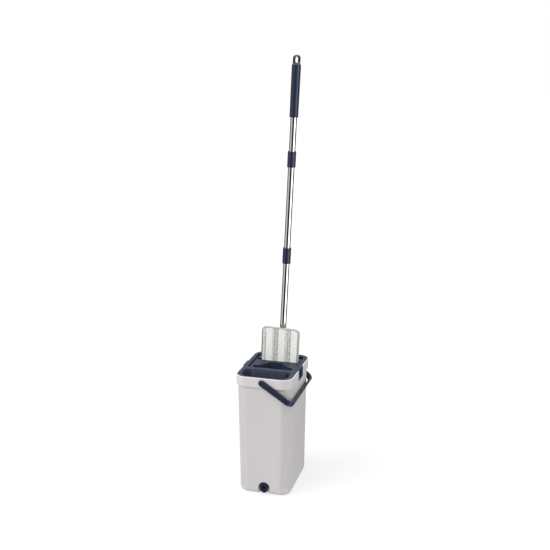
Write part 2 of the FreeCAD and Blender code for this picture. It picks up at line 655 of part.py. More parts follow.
def hang_cap():
    """End plug with a flat loop to hang the mop by."""
    low = GRIP_SPAN[1]
    plug = rod(TUBE_R - TUBE_WALL, (0, 0, low - 25), (0, 0, low))
    base = Part.makeCone(GRIP_R + 0.3, LOOP_WIDTH / 2, 5, V(0, 0, low), Z_DIR)
    loop = plate((LOOP_WIDTH, LOOP_TOP - low + 6), 9.0, -LOOP_THICK / 2, LOOP_THICK / 2,
                 (0, (LOOP_TOP + low - 6) / 2))
    loop = loop.common(box((-20, -20, low), (20, 20, LOOP_TOP + 1)))
    rim = loop.BoundBox.YMax - 1e-3
    loop = round_edges(loop, 1.6, lambda edge: abs(edge.BoundBox.YMin) > rim and edge.BoundBox.ZMax > low + 8)
    cap = plug.fuse(base).fuse(loop)
    hole_z = LOOP_TOP - 4.0 - LOOP_HOLE[1] / 2
    hole = plate(LOOP_HOLE, LOOP_HOLE[0] / 2 - 0.01, -20, 20, (0, hole_z))
    cap = cap.cut(hole).removeSplitter()
    cap.rotate(V(0, 0, 0), Z_DIR, LOOP_TURN)
    return set_pole(cap)


# ---------------------------------------------------------------- write every sub-part
PIECES = {
    "bucket_body": bucket_body,
    "drain_gasket": drain_gasket,
    "drain_cap": drain_cap,
    "bail_handle": bail_handle,
    "wringer_deck": wringer_deck,
    "wash_chute": wash_chute,
    "squeeze_chute_front": squeeze_chute_front,
    "squeeze_chute_back": squeeze_chute_back,
    "wash_wiper": wash_wiper,
    "rub_strips": rub_strips,
    "scraper_blade": scraper_blade,
    "chute_screws": chute_screws,
    "mop_plate": mop_plate,
    "hook_strips": hook_strips,
    "mop_pad": mop_pad,
    "head_bracket": head_bracket,
    "bracket_screws": bracket_screws,
    "flip_pin": flip_pin,
    "head_knuckle": head_knuckle,
    "swivel_pin": swivel_pin,
    "pole_socket": pole_socket,
    "socket_screw": socket_screw,
    "grip_sleeve": grip_sleeve,
    "hang_cap": hang_cap,
}
for piece_name, make in PIECES.items():
    save(piece_name, make())
tubes()
sleeves()
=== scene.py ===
import json
import math

import bmesh
import bpy
from mathutils import Matrix, Vector, noise


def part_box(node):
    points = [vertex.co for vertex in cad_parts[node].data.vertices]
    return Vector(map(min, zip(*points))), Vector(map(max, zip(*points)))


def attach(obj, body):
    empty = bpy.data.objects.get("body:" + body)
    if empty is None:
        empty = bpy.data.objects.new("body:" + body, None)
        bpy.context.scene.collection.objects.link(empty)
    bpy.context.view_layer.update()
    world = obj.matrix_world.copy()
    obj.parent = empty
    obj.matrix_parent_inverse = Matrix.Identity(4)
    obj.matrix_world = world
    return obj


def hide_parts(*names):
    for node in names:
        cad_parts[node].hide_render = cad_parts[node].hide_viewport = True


# Flat mop in its wash-and-squeeze bucket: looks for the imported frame. Metres, +Z up, -Y is the front.
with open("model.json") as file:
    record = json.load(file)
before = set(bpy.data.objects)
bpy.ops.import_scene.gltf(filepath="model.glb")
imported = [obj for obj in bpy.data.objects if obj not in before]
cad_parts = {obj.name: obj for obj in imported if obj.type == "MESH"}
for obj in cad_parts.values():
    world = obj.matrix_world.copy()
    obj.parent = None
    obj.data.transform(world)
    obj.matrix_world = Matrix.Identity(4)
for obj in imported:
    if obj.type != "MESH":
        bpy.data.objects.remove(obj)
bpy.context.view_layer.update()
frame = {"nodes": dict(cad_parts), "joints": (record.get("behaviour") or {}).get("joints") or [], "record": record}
NODES = frame["nodes"]

# ---- Mop pad, in its own axes: u across, w along the thickness (front is negative), v up the pad ----
PAD_WIDTH = 0.120
PAD_LENGTH = 0.330
PAD_CORNER = 0.015
PAD_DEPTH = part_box("mop_pad")[1].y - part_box("mop_pad")[0].y
OUTLINE_STEP = 0.006
CLOTH_INSET = 0.0009
CLOTH_START_DEPTH = 0.0052
CLOTH_VOXEL = 0.003
CLOTH_FRAMES = 20
CLOTH_QUALITY = 5
CLOTH_MASS = 0.3
CLOTH_PRESSURE = 4.0
SWELL_LIMIT = 0.0016

# The pile: its height, the part of it that lies inside the cloth, and its loops along u and v per metre.
PILE_HEIGHT = 0.0007
PILE_SUNK = 0.75
LOOP_SHARE = 0.8
LOOPS_ACROSS = 310
LOOPS_UP = 270
FINE_LOOP_SHARE = 0.6
FRONT_MARGIN = 0.00005
BACK_MARGIN = 0.0002
BACK_FACING = 0.6

# The binding tape: how far it reaches in from the edge, where it turns over, and how it rumples.
BINDING_THICK = 0.0006
BINDING_REACH = 0.0044
BINDING_MARGIN = 0.0001
FOLD_IN = 0.0022
SHOULDER_IN = 0.0006
SHOULDER_SHARE = 0.72
LEG_SHARE = 0.5
RUMPLE = 0.00018
RUMPLES = 160

# On the left the pile bulges over the tape: how far that tucks it in, by which way its edge faces, and how
# much of its front leg is covered.
TUCK = 0.0016
BULGE_START = 0.25
BULGE_SPAN = 0.6
BULGE_COVER = 0.8

# The overlock thread: its points lie in turn on the tape and past its inner edge.
STITCH_PITCH = 0.0024
STITCH_R = 0.00022
STITCH_SIDES = 5
STITCH_PAST_TAPE = 0.0004
STITCH_ON_TAPE = 0.0014

# Stripes of the pad, from its left edge: where each ends in millimetres, its colour and how mottled it is.
WHITE = (0.88, 0.885, 0.83)
MELANGE = (0.55, 0.55, 0.52)
GREY = (0.63, 0.63, 0.60)
YARN = (0.26, 0.26, 0.25)
STRIPES = [
    (2.5, GREY, 0.4), (8, MELANGE, 0.95), (12, GREY, 0.7), (15.3, YARN, 0.55), (34.7, WHITE, 0.12),
    (40.6, GREY, 0.6), (45, YARN, 0.6), (49.5, MELANGE, 0.95), (53.5, YARN, 0.55), (73.8, WHITE, 0.12),
    (81.7, GREY, 0.6), (85.1, YARN, 0.55), (89.1, MELANGE, 0.95), (93.1, YARN, 0.6), (112.9, WHITE, 0.12),
    (120, GREY, 0.2),
]
PROUD_WHITE = 1.0
PROUD_GREY = 0.7
PROUD_YARN = 0.45

# Painted shade on the pile, towards its top and low down, as a pair of places up the pad, and how much of its
# brightness it keeps there.
SHADED_TOP = (0.045, 0.150)
SHADED_TOP_KEEPS = 0.84
SHADED_LOW = (-0.03, 0.04)
SHADED_LOW_KEEPS = 0.91

# ---- Places that the finishes of bucket and deck follow: where a change starts and where it ends ----
BUCKET_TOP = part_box("bucket_body")[1].z
COLLAR_FOOT = 0.339
# The collar is painted lighter from the first height to the second: painted light.
COLLAR_PAINTED_LIGHT = (0.312, 0.345)
# A painted highlight along the brim, between these heights.
BRIM_HIGHLIGHT = (BUCKET_TOP - 0.0016, BUCKET_TOP - 0.0006)
# A painted shadow line under the collar: where it starts, where it ends, and the side it grows towards.
CREASE_SHADOW_STARTS = (COLLAR_FOOT - 0.0050, COLLAR_FOOT - 0.0010)
CREASE_SHADOW_ENDS = (COLLAR_FOOT + 0.0006, COLLAR_FOOT + 0.0012)
CREASE_SHADOW_SIDE = (-0.02, 0.05)
SCUFFED_FOOT = (0.0, 0.035)
DECK_SIDES = (0.0810, 0.0825)
DECK_ENDS = (0.1100, 0.1115)
POUR_OPENING_BACK = (-0.046, -0.040)
SLOT_MOUTHS = (0.3610, 0.3645)

# Painted light on the deck's inner walls: how level a face may be and still carry it, and how strong it is at
# most.
INNER_LIGHT_TILT = (0.50, 0.95)
INNER_LIGHT_STRENGTH = 0.85
INNER_LIGHT_IN_SLOTS = 0.55

# ---- Plastics ----
BUCKET_GREY = (0.462, 0.446, 0.446)
NAVY = (0.0078, 0.0128, 0.0360)
GRIP_NAVY = (0.0150, 0.0200, 0.0450)
# The chutes are painted a lighter navy: painted light that stands in for light reaching into the deck.
CHUTE_NAVY_PAINTED_LIGHT = (0.023, 0.028, 0.052)
# A lighter tone painted on the deck's inner walls as painted light.
INNER_WALL_LIGHT = (0.068, 0.075, 0.099)

# ---- Camera ----
CAMERA_PLACE = (0.66615, -2.3022, 1.2384)
CAMERA_PITCH = 13.83
CAMERA_YAW = 16.01
CAMERA_LENS = 55.2
CAMERA_SENSOR = 36

# ---- Studio ----
AMBIENT = (0.85, 0.85, 0.8585)
CEILING = (2.4, 2.4, 2.45)
CEILING_STARTS = 0.30
CEILING_FULL = 0.65
FLOOR_RADIUS = 40
FLOOR_DROP = 0.0002
FLOOR_GLOW = 0.63
BACK_WALL = (0.05, 0.05, 0.055)
WARM_WALL = (0.66, 0.63, 0.62)
BLACK_FLAG = (0.008, 0.008, 0.009)
SOFTBOX = (1.45, 1.45, 1.43)
LAMP = (4.4, 4.4, 4.5)
# Studio walls as gloss sees them, by azimuth from straight behind the camera, growing to its right.
STUDIO_WALLS = [
    (-180, BACK_WALL), (-128, (0.06, 0.06, 0.065)), (-104, (0.10, 0.095, 0.09)), (-93, WARM_WALL),
    (-40, WARM_WALL), (-35, BLACK_FLAG), (19, BLACK_FLAG), (25, SOFTBOX), (50, SOFTBOX), (56, LAMP),
    (65, LAMP), (70, (1.40, 1.40, 1.39)), (75, (1.35, 1.35, 1.34)), (83, (0.07, 0.065, 0.06)),
    (126, (0.06, 0.06, 0.06)), (180, BACK_WALL),
]


# ---------------------------------------------------------------- shader building
class Finish:
    """One material and the nodes that feed its Principled shader."""

    def __init__(self, name, color, roughness, **constants):
        self.material = bpy.data.materials.new(name)
        self.material.use_nodes = True
        self.tree = self.material.node_tree
        self.shader = self.tree.nodes["Principled BSDF"]
        self.set("Base Color", (*color, 1))
        self.set("Roughness", roughness)
        for socket, value in constants.items():
            self.set(socket.replace("_", " "), value)

    def set(self, socket, value):
        if isinstance(value, bpy.types.NodeSocket):
            self.tree.links.new(value, self.shader.inputs[socket])
        else:
            self.shader.inputs[socket].default_value = value

    def node(self, kind, inputs=(), **settings):
        made = self.tree.nodes.new(kind)
        for key, value in settings.items():
            setattr(made, key, value)
        for key, value in dict(inputs).items():
            if isinstance(value, bpy.types.NodeSocket):
                self.tree.links.new(value, made.inputs[key])
            else:
                made.inputs[key].default_value = value
        return made

    def place(self, scale=(1, 1, 1)):
        """Object coordinates in metres, stretched by scale."""
        source = self.node("ShaderNodeTexCoord").outputs["Object"]
        return self.node("ShaderNodeMapping", {"Vector": source, "Scale": scale}).outputs["Vector"]

    def noise(self, scale, detail=3.0, roughness=0.5, stretch=(1, 1, 1)):
        inputs = {"Vector": self.place(stretch), "Scale": scale, "Detail": detail, "Roughness": roughness}
        return self.node("ShaderNodeTexNoise", inputs).outputs["Fac"]

    def axes(self, vector=None):
        """The three parts of a vector, or of the place in object coordinates."""
        return self.node("ShaderNodeSeparateXYZ", {0: self.place() if vector is None else vector}).outputs

    def math(self, operation, a, b=0.0):
        return self.node("ShaderNodeMath", {0: a, 1: b}, operation=operation).outputs[0]

    def product(self, first, *others):
        for other in others:
            first = self.math("MULTIPLY", first, other)
        return first

    def spread(self, value, low, high, from_low=0.3, from_high=0.7):
        """Map a value to the range low to high, and hold it at its ends; the default suits a noise."""
        inputs = {"Value": value, "From Min": from_low, "From Max": from_high, "To Min": low, "To Max": high}
        return self.node("ShaderNodeMapRange", inputs).outputs["Result"]

    def rise(self, value, start, end):
        return self.spread(value, 0, 1, start, end)

    def fall(self, value, start, end):
        return self.spread(value, 1, 0, start, end)

    def mix(self, share, a, b):
        """Colour a where share is 0, b where it is 1."""
        made = self.node("ShaderNodeMix", data_type="RGBA")
        for socket, value in ((0, share), (6, a), (7, b)):
            if isinstance(value, bpy.types.NodeSocket):
                self.tree.links.new(value, made.inputs[socket])
            elif socket == 0:
                made.inputs[socket].default_value = value
            else:
                made.inputs[socket].default_value = (*value, 1)
        return made.outputs[2]

    def edges(self, radius):
        """Edge sharpness, 0 on flats and up to 1, from how far a rounded normal turns; and that normal."""
        soft = self.node("ShaderNodeBevel", {"Radius": radius}, samples=4).outputs["Normal"]
        plain = self.node("ShaderNodeNewGeometry").outputs["Normal"]
        dot = self.node("ShaderNodeVectorMath", {0: soft, 1: plain}, operation="DOT_PRODUCT")
        return self.fall(dot.outputs["Value"], 0.80, 0.985), soft

    def bump(self, height, distance, strength=1.0, normal=None):
        inputs = {"Height": height, "Distance": distance, "Strength": strength}
        if normal is not None:
            inputs["Normal"] = normal
        self.set("Normal", self.node("ShaderNodeBump", inputs).outputs["Normal"])


def shade(color, factor):
    """A colour made lighter or darker."""
    return tuple(min(1.0, c * factor) for c in color)


# ---------------------------------------------------------------- materials
def painted_inner_light(finish, tint):
    """Painted light on the deck's inner walls, a lighter tone: full in the pour opening, fainter in the slots."""
    normal = finish.node("ShaderNodeNewGeometry").outputs["Normal"]
    level = finish.math("ABSOLUTE", finish.axes(normal)["Z"])
    upright = finish.fall(level, *INNER_LIGHT_TILT)
    place = finish.axes()
    inside = finish.product(finish.fall(finish.math("ABSOLUTE", place["X"]), *DECK_SIDES),
                            finish.fall(finish.math("ABSOLUTE", place["Y"]), *DECK_ENDS))
    pour_opening = finish.fall(place["Y"], *POUR_OPENING_BACK)
    slots = finish.spread(place["Z"], INNER_LIGHT_IN_SLOTS, 0, *SLOT_MOUTHS)
    lit_inside = finish.product(finish.math("MAXIMUM", pour_opening, slots), inside)
    streaks = finish.spread(finish.noise(55, 4, 0.6, (1, 1, 0.35)), 0.55, 1)
    return finish.mix(finish.product(upright, lit_inside, streaks, INNER_LIGHT_STRENGTH), tint, INNER_WALL_LIGHT)


def moulded_plastic(name, color, roughness, variation, grain, wear, inner_light=False):
    """Injection-moulded plastic: faint flow marks, fine spark-eroded grain, rubbed lighter edges, and where asked
    painted light on inner walls.
    """
    finish = Finish(name, color, roughness, Specular_IOR_Level=0.40)
    flow = finish.spread(finish.noise(9, 4, 0.6, (1, 1, 0.45)), 0, 1)
    tint = finish.mix(flow, shade(color, 1 - variation), shade(color, 1 + variation))
    speck = finish.rise(finish.noise(420, 2), 0.62, 0.75)
    tint = finish.mix(finish.product(speck, 0.12), tint, shade(color, 0.78))
    edge, soft_normal = finish.edges(0.0009)
    rubbed = finish.product(edge, finish.spread(finish.noise(60, 4), 0.25, 1))
    tint = finish.mix(finish.product(rubbed, wear), tint, shade(color, 1.55))
    # Painted light on the deck's inner walls.
    if inner_light:
        tint = painted_inner_light(finish, tint)
    finish.set("Base Color", tint)
    gloss = finish.spread(finish.noise(26, 5, 0.6), roughness - 0.06, roughness + 0.07)
    finish.set("Roughness", finish.math("SUBTRACT", gloss, finish.product(rubbed, 0.12)))
    finish.bump(finish.noise(1500, 2), grain, 0.5, soft_normal)
    return finish.material


def scuffed_bucket():
    """Light grey body: scuffs at its foot, painted shade in its crevices, edges painted lighter as a painted
    highlight, the collar painted lighter with a painted highlight along its brim, and a painted shadow line under
    it.
    """
    color = BUCKET_GREY
    finish = Finish("bucket_plastic", color, 0.42, Specular_IOR_Level=0.42)
    place = finish.axes()
    height = place["Z"]
    flow = finish.spread(finish.noise(6, 4, 0.55, (1, 1, 0.35)), 0, 1)
    tint = finish.mix(flow, shade(color, 0.982), shade(color, 1.018))
    speck = finish.rise(finish.noise(380, 2), 0.66, 0.78)
    tint = finish.mix(finish.product(speck, 0.10), tint, shade(color, 0.80))
    dragged = finish.rise(finish.noise(70, 6, 0.7, (1, 1, 5)), 0.54, 0.70)
    scuff = finish.product(dragged, finish.fall(height, *SCUFFED_FOOT), 0.28)
    tint = finish.mix(scuff, tint, shade(color, 0.62))
    edge, soft_normal = finish.edges(0.0012)
    # Painted highlight: rounded edges are painted lighter.
    tint = finish.mix(finish.product(edge, 0.45), tint, shade(color, 1.35))
    # Painted shade in crevices, from ambient occlusion.
    open_air = finish.node("ShaderNodeAmbientOcclusion", {"Distance": 0.006}, samples=8).outputs["AO"]
    painted_crevice_shade = finish.product(finish.fall(open_air, 0.25, 0.85), 0.45)
    tint = finish.mix(painted_crevice_shade, tint, shade(color, 0.45))
    # Painted light: the collar is painted a shade lighter.
    lit_collar = finish.product(finish.rise(height, *COLLAR_PAINTED_LIGHT), 0.75)
    tint = finish.mix(lit_collar, tint, shade(color, 1.09))
    # Painted highlight along the brim.
    brim_highlight = finish.spread(height, 0, 0.9, *BRIM_HIGHLIGHT)
    tint = finish.mix(brim_highlight, tint, shade(color, 1.6))
    # Painted shadow line under the collar, stronger on the +X side.
    crease_shadow = finish.product(finish.rise(height, *CREASE_SHADOW_STARTS), finish.fall(height, *CREASE_SHADOW_ENDS),
                            finish.spread(place["X"], 0, 0.62, *CREASE_SHADOW_SIDE))
    tint = finish.mix(crease_shadow, tint, shade(color, 0.42))
    finish.set("Base Color", tint)
    finish.set("Roughness", finish.spread(finish.noise(22, 5, 0.6), 0.36, 0.50))
    finish.bump(finish.noise(1300, 2), 0.00005, 0.5, soft_normal)
    return finish.material


def polished_tube():
    """Thin rolled stainless tube: polished, with fine drawing lines along it and faint smears."""
    color = (0.80, 0.785, 0.765)
    finish = Finish("pole_steel", color, 0.10, Metallic=1.0)
    lines = finish.noise(700, 2, 0.5, (1, 1, 0.012))
    smear = finish.spread(finish.noise(30, 5, 0.6, (1, 1, 0.3)), 0, 1)
    finish.set("Base Color", finish.mix(smear, shade(color, 0.965), shade(color, 1.02)))
    smeared = finish.spread(smear, 0.05, 0.10)
    finish.set("Roughness", finish.math("ADD", smeared, finish.spread(lines, 0, 0.025)))
    finish.bump(lines, 0.00002, 0.25)
    return finish.material


def plated_steel():
    """Zinc-plated screws and pins with turning marks."""
    color = (0.60, 0.60, 0.59)
    finish = Finish("screw_steel", color, 0.32, Metallic=1.0)
    patch = finish.spread(finish.noise(240, 4, 0.6), 0, 1)
    finish.set("Base Color", finish.mix(patch, shade(color, 0.82), shade(color, 1.12)))
    finish.set("Roughness", finish.spread(patch, 0.26, 0.42))
    finish.bump(finish.noise(2600, 3), 0.00003, 0.5)
    return finish.material


def soft_rubber(name, color):
    """Soft moulded lip or seal with a dull bloom."""
    finish = Finish(name, color, 0.68)
    bloom = finish.spread(finish.noise(45, 5, 0.65), 0, 1)
    finish.set("Base Color", finish.mix(bloom, color, shade(color, 1.9)))
    finish.set("Roughness", finish.spread(bloom, 0.60, 0.82))
    finish.bump(finish.noise(1700, 3), 0.00006, 0.6)
    return finish.material


def hook_tape():
    """Rows of tiny hooks on a woven strip."""
    color = (0.04, 0.04, 0.045)
    finish = Finish("hook_tape", color, 0.75)
    cells = {"Vector": finish.place(), "Scale": 900.0}
    weave = finish.node("ShaderNodeTexVoronoi", cells, distance="CHEBYCHEV")
    dots = finish.fall(weave.outputs["Distance"], 0.1, 0.55)
    finish.set("Base Color", finish.mix(dots, shade(color, 0.6), shade(color, 1.8)))
    finish.set("Roughness", finish.spread(dots, 0.85, 0.55, 0, 1))
    finish.bump(dots, 0.0003, 0.9)
    return finish.material


def blurred_place(finish):
    """Object coordinates that wander by up to 1.7 mm, as loops of neighbouring yarns mingle."""
    place = finish.place()
    inputs = {"Vector": place, "Scale": 420.0, "Detail": 2.0}
    wander = finish.node("ShaderNodeTexNoise", inputs).outputs["Color"]
    centred = finish.node("ShaderNodeVectorMath", {0: wander, 1: (0.5, 0.5, 0.5)}, operation="SUBTRACT")
    shift = finish.node("ShaderNodeVectorMath", {0: centred.outputs[0], "Scale": 0.0034}, operation="SCALE")
    return finish.node("ShaderNodeVectorMath", {0: place, 1: shift.outputs[0]}, operation="ADD").outputs[0]


def striped_yarn(finish):
    """The stripes across the pad as a colour ramp, with how mottled each is as its alpha."""
    across = finish.axes(blurred_place(finish))["X"]
    share = finish.rise(across, -PAD_WIDTH / 2, PAD_WIDTH / 2)
    ramp = finish.node("ShaderNodeValToRGB", {"Fac": share})
    stripes = ramp.color_ramp
    stripes.interpolation = "CONSTANT"
    start = 0.0
    for i, (end, color, mottle) in enumerate(STRIPES):
        stop = stripes.elements[0] if i == 0 else stripes.elements.new(start)
        stop.position = start
        stop.color = (*color, mottle)
        start = end / (PAD_WIDTH * 1000)
    stripes.elements.remove(stripes.elements[-1])
    return ramp.outputs["Color"], ramp.outputs["Alpha"]


def microfibre_face():
    """Looped pile in lengthwise stripes that light and dark yarns mottle, with painted shade towards both ends and
    between the loops.
    """
    finish = Finish("microfibre", WHITE, 0.92, Sheen_Weight=0.25, Sheen_Roughness=0.5)
    yarn, mottle = striped_yarn(finish)
    light = finish.rise(finish.noise(320, 3, 0.65, (1.2, 1, 0.85)), 0.48, 0.54)
    tint = finish.mix(finish.product(light, mottle), yarn, WHITE)
    dark = finish.rise(finish.noise(330, 2, 0.6, (1.1, 1, 0.95)), 0.50, 0.56)
    tint = finish.mix(finish.product(dark, mottle, 0.74), tint, YARN)
    up = finish.axes()["Z"]
    # Painted shade: the pile is darkened towards its top and low down.
    pile_shade_kept = finish.product(finish.spread(up, 1, SHADED_TOP_KEEPS, *SHADED_TOP),
                          finish.spread(up, SHADED_LOW_KEEPS, 1, *SHADED_LOW))
    tint = finish.mix(pile_shade_kept, (0, 0, 0), tint)
    loops = finish.node("ShaderNodeTexVoronoi", {"Vector": finish.place((1, 1, 0.8)), "Scale": 520.0})
    crown = finish.fall(loops.outputs["Distance"], 0.05, 0.60)
    # Painted shade between the loops, where the crowns fall away.
    tint = finish.mix(finish.spread(crown, 0.10, 0, 0, 1), tint, shade(GREY, 0.6))
    finish.set("Base Color", tint)
    fibres = finish.noise(2400, 3, 0.6)
    finish.bump(finish.math("ADD", crown, finish.product(fibres, 0.35)), 0.0006, 0.45)
    return finish.material


def felt_backing():
    """Needled loop felt that the hook tape grips."""
    color = (0.62, 0.62, 0.60)
    finish = Finish("pad_backing", color, 0.95, Sheen_Weight=0.2)
    fuzz = finish.noise(900, 4, 0.7)
    finish.set("Base Color", finish.mix(finish.spread(fuzz, 0, 1), shade(color, 0.8), shade(color, 1.1)))
    finish.bump(fuzz, 0.0004, 0.7)
    return finish.material


def binding_tape():
    """Grey woven edge binding with a fine rib across it."""
    color = (0.36, 0.362, 0.35)
    finish = Finish("pad_binding", color, 0.88, Sheen_Weight=0.15)
    rib = finish.node("ShaderNodeTexVoronoi", {"Vector": finish.place(), "Scale": 1100.0})
    weave = finish.fall(rib.outputs["Distance"], 0.1, 0.6)
    patch = finish.spread(finish.noise(120, 3), 0, 1)
    tint = finish.mix(patch, shade(color, 0.88), shade(color, 1.14))
    finish.set("Base Color", finish.mix(finish.product(weave, 0.35), tint, shade(color, 1.5)))
    finish.bump(weave, 0.0003, 0.8)
    return finish.material


def stitch_thread():
    """Twisted grey sewing thread."""
    color = (0.55, 0.55, 0.53)
    finish = Finish("pad_thread", color, 0.8, Sheen_Weight=0.1)
    twist = finish.noise(3000, 2)
    finish.set("Base Color", finish.mix(finish.spread(twist, 0, 1), shade(color, 0.8), shade(color, 1.15)))
    finish.bump(twist, 0.0001, 0.6)
    return finish.material


SATIN = {"roughness": 0.44, "variation": 0.07, "grain": 0.00007, "wear": 0.45}
DULL = {"roughness": 0.46, "variation": 0.07, "grain": 0.00006, "wear": 0.35}
GLOSSY = {"roughness": 0.19, "variation": 0.06, "grain": 0.00002, "wear": 0.30}
FINISHES = {
    "bucket_plastic": scuffed_bucket(),
    "navy_plastic": moulded_plastic("navy_plastic", NAVY, **SATIN),
    "pole_steel": polished_tube(),
    "screw_steel": plated_steel(),
    "lip_rubber": soft_rubber("lip_rubber", (0.022, 0.026, 0.042)),
    "seal_rubber": soft_rubber("seal_rubber", (0.016, 0.016, 0.016)),
    "hook_tape": hook_tape(),
    "microfibre": microfibre_face(),
}
GRIP_FINISH = moulded_plastic("navy_grip", GRIP_NAVY, **GLOSSY)
CAP_FINISH = moulded_plastic("navy_cap", shade(NAVY, 0.62), **DULL)
# Lighter navy for the chutes, painted light.
LIT_CHUTE_FINISH = moulded_plastic("navy_chute_painted_light", CHUTE_NAVY_PAINTED_LIGHT, **DULL)
DECK_FINISH = moulded_plastic("navy_deck", NAVY, inner_light=True, **SATIN)
OWN_FINISH = {
    "wringer_deck": DECK_FINISH,
    "wash_chute": LIT_CHUTE_FINISH,
    "squeeze_chute_front": LIT_CHUTE_FINISH,
    "squeeze_chute_back": LIT_CHUTE_FINISH,
    "grip_sleeve": GRIP_FINISH,
    "hang_cap": GRIP_FINISH,
    "lower_coupling_sleeve": GRIP_FINISH,
    "upper_coupling_sleeve": GRIP_FINISH,
    "drain_cap": CAP_FINISH,
}


def dress_nodes():
    """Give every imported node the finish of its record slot, or its own version of it."""
    for part in frame["record"]["subparts"]:
        node = NODES[part["node"]]
        node.data.materials.clear()
        node.data.materials.append(OWN_FINISH.get(part["node"], FINISHES[part["material_slot"]]))


# ---------------------------------------------------------------- mesh helpers
def new_object(name, verts, faces, material):
    mesh = bpy.data.meshes.new(name)
    mesh.from_pydata(verts, [], faces)
    mesh.materials.append(material)
    made = bpy.data.objects.new(name, mesh)
    bpy.context.scene.collection.objects.link(made)
    return made


def smooth(obj):
    obj.data.polygons.foreach_set("use_smooth", [True] * len(obj.data.polygons))


def apply_modifiers(obj):
    """Replace the object's mesh by what its modifiers make of it."""
    shaped = obj.evaluated_get(bpy.context.evaluated_depsgraph_get())
    made = bpy.data.meshes.new_from_object(shaped)
    obj.modifiers.clear()
    obj.data = made


def rounded_outline(inset, corner_steps=10):
    """Points and outward directions round the pad's edge, evenly spaced along its straight sides."""
    radius = PAD_CORNER - inset
    half_u = PAD_WIDTH / 2 - inset - radius
    half_v = PAD_LENGTH / 2 - inset - radius
    corners = [(half_u, half_v, 0), (-half_u, half_v, 90), (-half_u, -half_v, 180), (half_u, -half_v, 270)]
    points = []
    for i, (u, v, first) in enumerate(corners):
        for step in range(corner_steps + 1):
            angle = math.radians(first + 90 * step / corner_steps)
            out = Vector((math.cos(angle), 0, math.sin(angle)))
            points.append((Vector((u, 0, v)) + out * radius, out))
        following = corners[(i + 1) % 4]
        run = Vector((following[0] - u, 0, following[1] - v))
        count = max(2, round(run.length / OUTLINE_STEP))
        last, out = points[-1]
        for step in range(1, count):
            points.append((last + run * (step / count), out))
    return points


# ---------------------------------------------------------------- mop pad
def pad_frame():
    """The pad's own axes: its middle, with u along the head's flip pin."""
    low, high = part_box("mop_pad")
    flip = next(j for j in frame["joints"] if j["name"] == "head_flip")
    across = -Vector(flip["axis"]).normalized()
    back = Vector((0, 1, 0))
    up = across.cross(back)
    turn = Matrix((across, back, up)).transposed().to_4x4()
    return Matrix.Translation((low + high) / 2) @ turn


def flat_slab():
    """Thin closed slab in the pad's outline, which the pressure then swells."""
    rim = [point for point, _ in rounded_outline(CLOTH_INSET)]
    half = CLOTH_START_DEPTH / 2
    verts = [point + Vector((0, side * half, 0)) for side in (-1, 1) for point in rim]
    count = len(rim)
    sides = [(i, (i + 1) % count, count + (i + 1) % count, count + i) for i in range(count)]
    caps = [tuple(reversed(range(count))), tuple(range(count, 2 * count))]
    return new_object("mop_pad_cloth", verts, sides + caps, FINISHES["microfibre"])


def swell(pad):
    """Fill the slab: voxel remesh, a pressure cloth simulation, and a cap on how far a point moves."""
    remesh = pad.modifiers.new("remesh", "REMESH")
    remesh.mode = "VOXEL"
    remesh.voxel_size = CLOTH_VOXEL
    apply_modifiers(pad)
    before = [v.co.copy() for v in pad.data.vertices]
    cloth = pad.modifiers.new("fill", "CLOTH")
    cloth.settings.quality = CLOTH_QUALITY
    cloth.settings.mass = CLOTH_MASS
    cloth.settings.use_pressure = True
    cloth.settings.uniform_pressure_force = CLOTH_PRESSURE
    cloth.settings.effector_weights.gravity = 0.0
    cloth.point_cache.frame_start = 1
    cloth.point_cache.frame_end = CLOTH_FRAMES
    for number in range(1, CLOTH_FRAMES + 1):
        bpy.context.scene.frame_set(number)
    apply_modifiers(pad)
    bpy.context.scene.frame_set(1)
    for vertex, start in zip(pad.data.vertices, before):
        move = vertex.co - start
        if move.length > SWELL_LIMIT:
            vertex.co = start + move * (SWELL_LIMIT / move.length)


def stripe_height(millimetres):
    """How proud the pile stands at a place across the pad: most on white stripes, least on the dark yarn."""
    for end, color, _ in STRIPES:
        if millimetres < end:
            return PROUD_WHITE if color is WHITE else PROUD_YARN if color is YARN else PROUD_GREY
    return PROUD_GREY


def raise_pile(pad):
    """Cut a looped surface into the front, and keep front and back inside the pad's depth."""
    extra = pad.modifiers.new("finer", "SUBSURF")
    extra.subdivision_type = "CATMULL_CLARK"
    extra.levels = extra.render_levels = 1
    apply_modifiers(pad)
    front = FRONT_MARGIN - PAD_DEPTH / 2
    back = PAD_DEPTH / 2 - BACK_MARGIN
    for vertex in pad.data.vertices:
        u, _, v = vertex.co
        facing = max(0.0, -vertex.normal.y)
        # The fine loops come from another slice of the noise than the coarse ones.
        coarse = noise.noise(Vector((u * LOOPS_ACROSS, 0, v * LOOPS_UP)))
        fine = noise.noise(Vector((u * LOOPS_ACROSS * 2, 5, v * LOOPS_UP * 2)))
        loops = coarse + FINE_LOOP_SHARE * fine
        proud = stripe_height((u + PAD_WIDTH / 2) * 1000)
        vertex.co += vertex.normal * (facing * PILE_HEIGHT * (proud - PILE_SUNK + LOOP_SHARE * loops))
        vertex.co.y = min(back, max(front, vertex.co.y))
    pad.data.update()


def paint_back(pad):
    """Felt on the faces that look at the plate."""
    pad.data.materials.append(felt_backing())
    for face in pad.data.polygons:
        if face.normal.y > BACK_FACING:
            face.material_index = 1


def tape_share(out):
    """Share of the tape's front leg that shows on an edge that faces out: the pile covers the left one."""
    left = min(1.0, max(0.0, (-out.x - BULGE_START) / BULGE_SPAN))
    return 1 - BULGE_COVER * left * left * (3 - 2 * left)


